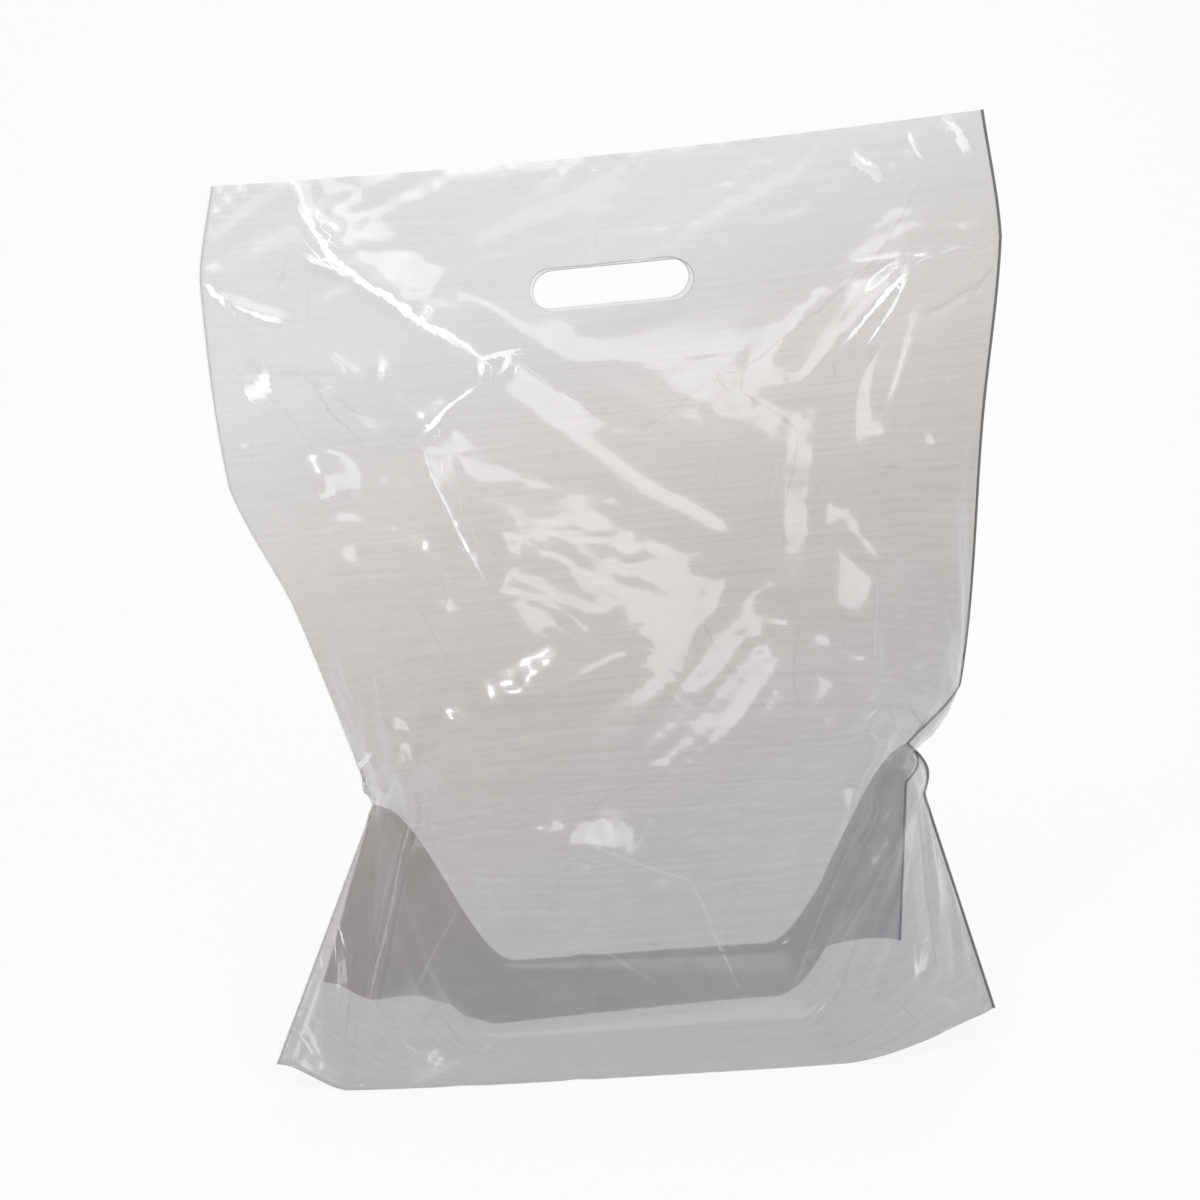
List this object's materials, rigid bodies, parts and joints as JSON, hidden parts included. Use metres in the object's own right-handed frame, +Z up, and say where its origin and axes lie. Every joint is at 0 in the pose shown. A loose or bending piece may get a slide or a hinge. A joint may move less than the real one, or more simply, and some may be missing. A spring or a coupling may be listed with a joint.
{
  "type": "plastic carrier bag",
  "caption": "Clear plastic film carrier bag with a punched hand slot and an opened bottom gusset, standing and lightly creased.",
  "frame": {"origin": "on the floor, at the middle of the bag's box", "axes": "+Z up to the mouth, +X along the mouth to the right, -Y out of the front panel"},
  "size_m": [0.4486, 0.1966, 0.524],
  "materials": {
    "film": "clear gloss film, slightly milky"
  },
  "bodies": {
    "root": {"carrier_bag": "film"}
  },
  "joints": []
}
